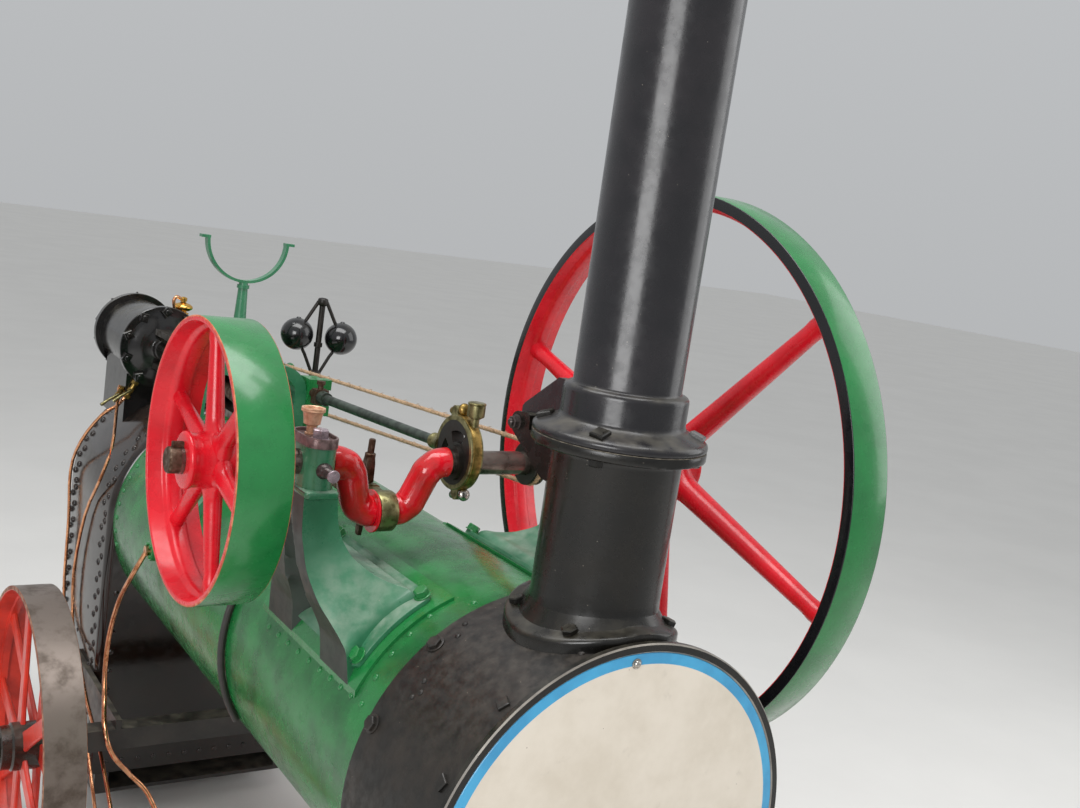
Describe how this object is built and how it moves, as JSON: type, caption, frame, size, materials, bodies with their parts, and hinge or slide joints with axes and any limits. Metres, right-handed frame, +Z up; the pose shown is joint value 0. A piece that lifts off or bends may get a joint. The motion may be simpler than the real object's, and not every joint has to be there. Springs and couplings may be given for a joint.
{
  "type": "portable steam engine",
  "caption": "Steam engine on a horizontal boiler with road wheels, two flywheels on an overhead crankshaft and a chimney that folds back onto a crutch.",
  "frame": {"origin": "ground level, in the middle of the box around the engine", "axes": "+Z up, +Y towards the firebox and fire door, +X towards the large flywheel"},
  "size_m": [1.308, 2.8344, 3.455],
  "materials": {
    "enamel_green": "gloss enamel",
    "enamel_red": "gloss enamel",
    "enamel_black": "gloss enamel",
    "enamel_cream": "eggshell",
    "bright_steel": "machined, worn",
    "cast_iron": "oily",
    "brass": "dull polish",
    "copper": "drawn tube",
    "rope": "laid hemp",
    "wrought_iron": "painted, worn"
  },
  "bodies": {
    "engine": {"barrel": "enamel_green", "saddle_plates": "enamel_green", "smokebox": "enamel_black", "smokebox_ring": "enamel_black", "smokebox_disc": "enamel_cream", "chimney_base": "enamel_black", "hinge_bolt": "bright_steel", "bearing_bracket_left": "enamel_green", "bearing_bracket_right": "enamel_green", "bearing_caps": "bright_steel", "oil_cups": "brass", "crankshaft": "bright_steel", "large_flywheel": "enamel_green", "small_flywheel": "enamel_green", "connecting_rod": "bright_steel", "crosshead": "bright_steel", "slide_bars": "bright_steel", "motion_bracket": "enamel_green", "eccentric_sheave": "cast_iron", "eccentric_strap": "brass", "eccentric_rod": "cast_iron", "valve_rod": "bright_steel", "valve_rod_guide": "enamel_green", "rope_drive_pulley": "cast_iron", "rope_belt": "rope", "governor_pulley": "enamel_green", "governor_stand": "enamel_green", "governor_head": "enamel_black", "cylinder_casting": "enamel_black", "cylinder_covers": "enamel_black", "valve_chest": "enamel_green", "lubricator": "brass", "safety_valve": "brass", "chimney_crutch": "enamel_green", "drain_pipes": "copper", "feed_pipe": "copper", "side_pipe": "wrought_iron", "firebox": "enamel_black", "ashpan": "wrought_iron", "fire_door": "cast_iron", "boiler_gauges": "brass", "hind_axle": "wrought_iron", "fore_carriage": "wrought_iron", "front_axle": "wrought_iron", "front_wheels": "enamel_red"},
    "chimney": {"chimney_stack": "enamel_black", "chimney_crown": "enamel_black"},
    "hind_wheel_left": {"hind_wheel_left": "enamel_red"},
    "hind_wheel_right": {"hind_wheel_right": "enamel_red"}
  },
  "joints": [
    {"name": "chimney_fold", "type": "hinge", "parent": "engine", "child": "chimney", "pos_m": [0, -0.81915, 1.598], "axis": [-1, 0, 0], "range_deg": [0, 90.5]},
    {"name": "hind_wheel_left_turn", "type": "hinge", "parent": "engine", "child": "hind_wheel_left", "pos_m": [-0.56, 0.55285, 0.415], "axis": [1, 0, 0], "continuous": true},
    {"name": "hind_wheel_right_turn", "type": "hinge", "parent": "engine", "child": "hind_wheel_right", "pos_m": [0.56, 0.55285, 0.415], "axis": [1, 0, 0], "continuous": true}
  ]
}
